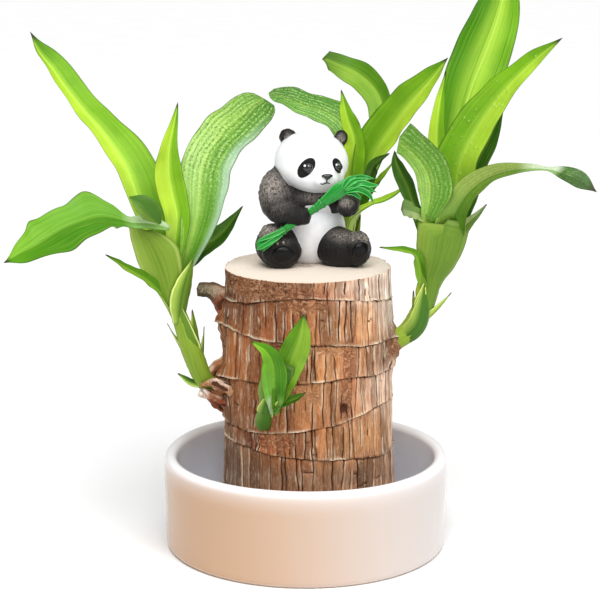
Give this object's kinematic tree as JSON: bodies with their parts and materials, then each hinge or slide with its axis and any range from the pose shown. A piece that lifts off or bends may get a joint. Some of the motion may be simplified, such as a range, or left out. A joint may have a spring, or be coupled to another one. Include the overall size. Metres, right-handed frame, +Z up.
{
  "type": "sprouting log stump houseplant in a bowl",
  "caption": "Ringed log stump with leafy green shoots standing in a shallow white bowl, with a seated panda figurine holding a bamboo sprig on its cut top.",
  "frame": {"origin": "centre of the bowl's flat underside, on the surface it stands on", "axes": "+Z up, +X to the right as the panda's front is looked at, -Y towards the viewer"},
  "size_m": [0.1939, 0.1003, 0.2031],
  "materials": {
    "white_glaze": "glossy white glaze",
    "bark_wood": "rough ringed and cracked bark with a pale cut face",
    "shoot_stem": "smooth pale green sheaths",
    "leaf_bright": "glossy lime green blade with a pale midrib",
    "leaf_deep": "glossy darker green blade",
    "painted_resin": "matt painted resin, white with black limbs, ears and eye patches",
    "green_plastic": "glossy moulded green"
  },
  "bodies": {
    "root": {"bowl": "white_glaze", "log": "bark_wood", "panda_figurine": "painted_resin", "panda_bamboo_sprig": "green_plastic", "left_stem": "shoot_stem", "left_leaf_inner": "leaf_bright", "left_leaf_broad": "leaf_bright", "left_leaf_tall": "leaf_bright", "left_leaf_drooping": "leaf_deep", "left_leaf_dark": "leaf_deep", "left_leaf_lower": "leaf_deep", "back_stem": "shoot_stem", "back_leaf_inner": "leaf_bright", "back_leaf_striped": "leaf_bright", "back_leaf_high": "leaf_bright", "back_leaf_bright": "leaf_bright", "back_leaf_fold": "leaf_deep", "back_leaf_short": "leaf_bright", "back_leaf_arching": "leaf_bright", "right_stem": "shoot_stem", "right_leaf_inner": "leaf_bright", "right_leaf_front": "leaf_bright", "right_leaf_tall": "leaf_bright", "right_leaf_dark": "leaf_deep", "right_leaf_bright": "leaf_bright", "right_leaf_arched": "leaf_deep", "right_leaf_strip": "leaf_deep", "right_leaf_blunt": "leaf_bright", "right_leaf_short": "leaf_bright", "right_leaf_lower": "leaf_deep", "front_stem": "shoot_stem", "front_leaf_main": "leaf_bright", "front_leaf_left": "leaf_deep", "front_leaf_right": "leaf_bright"}
  },
  "joints": []
}
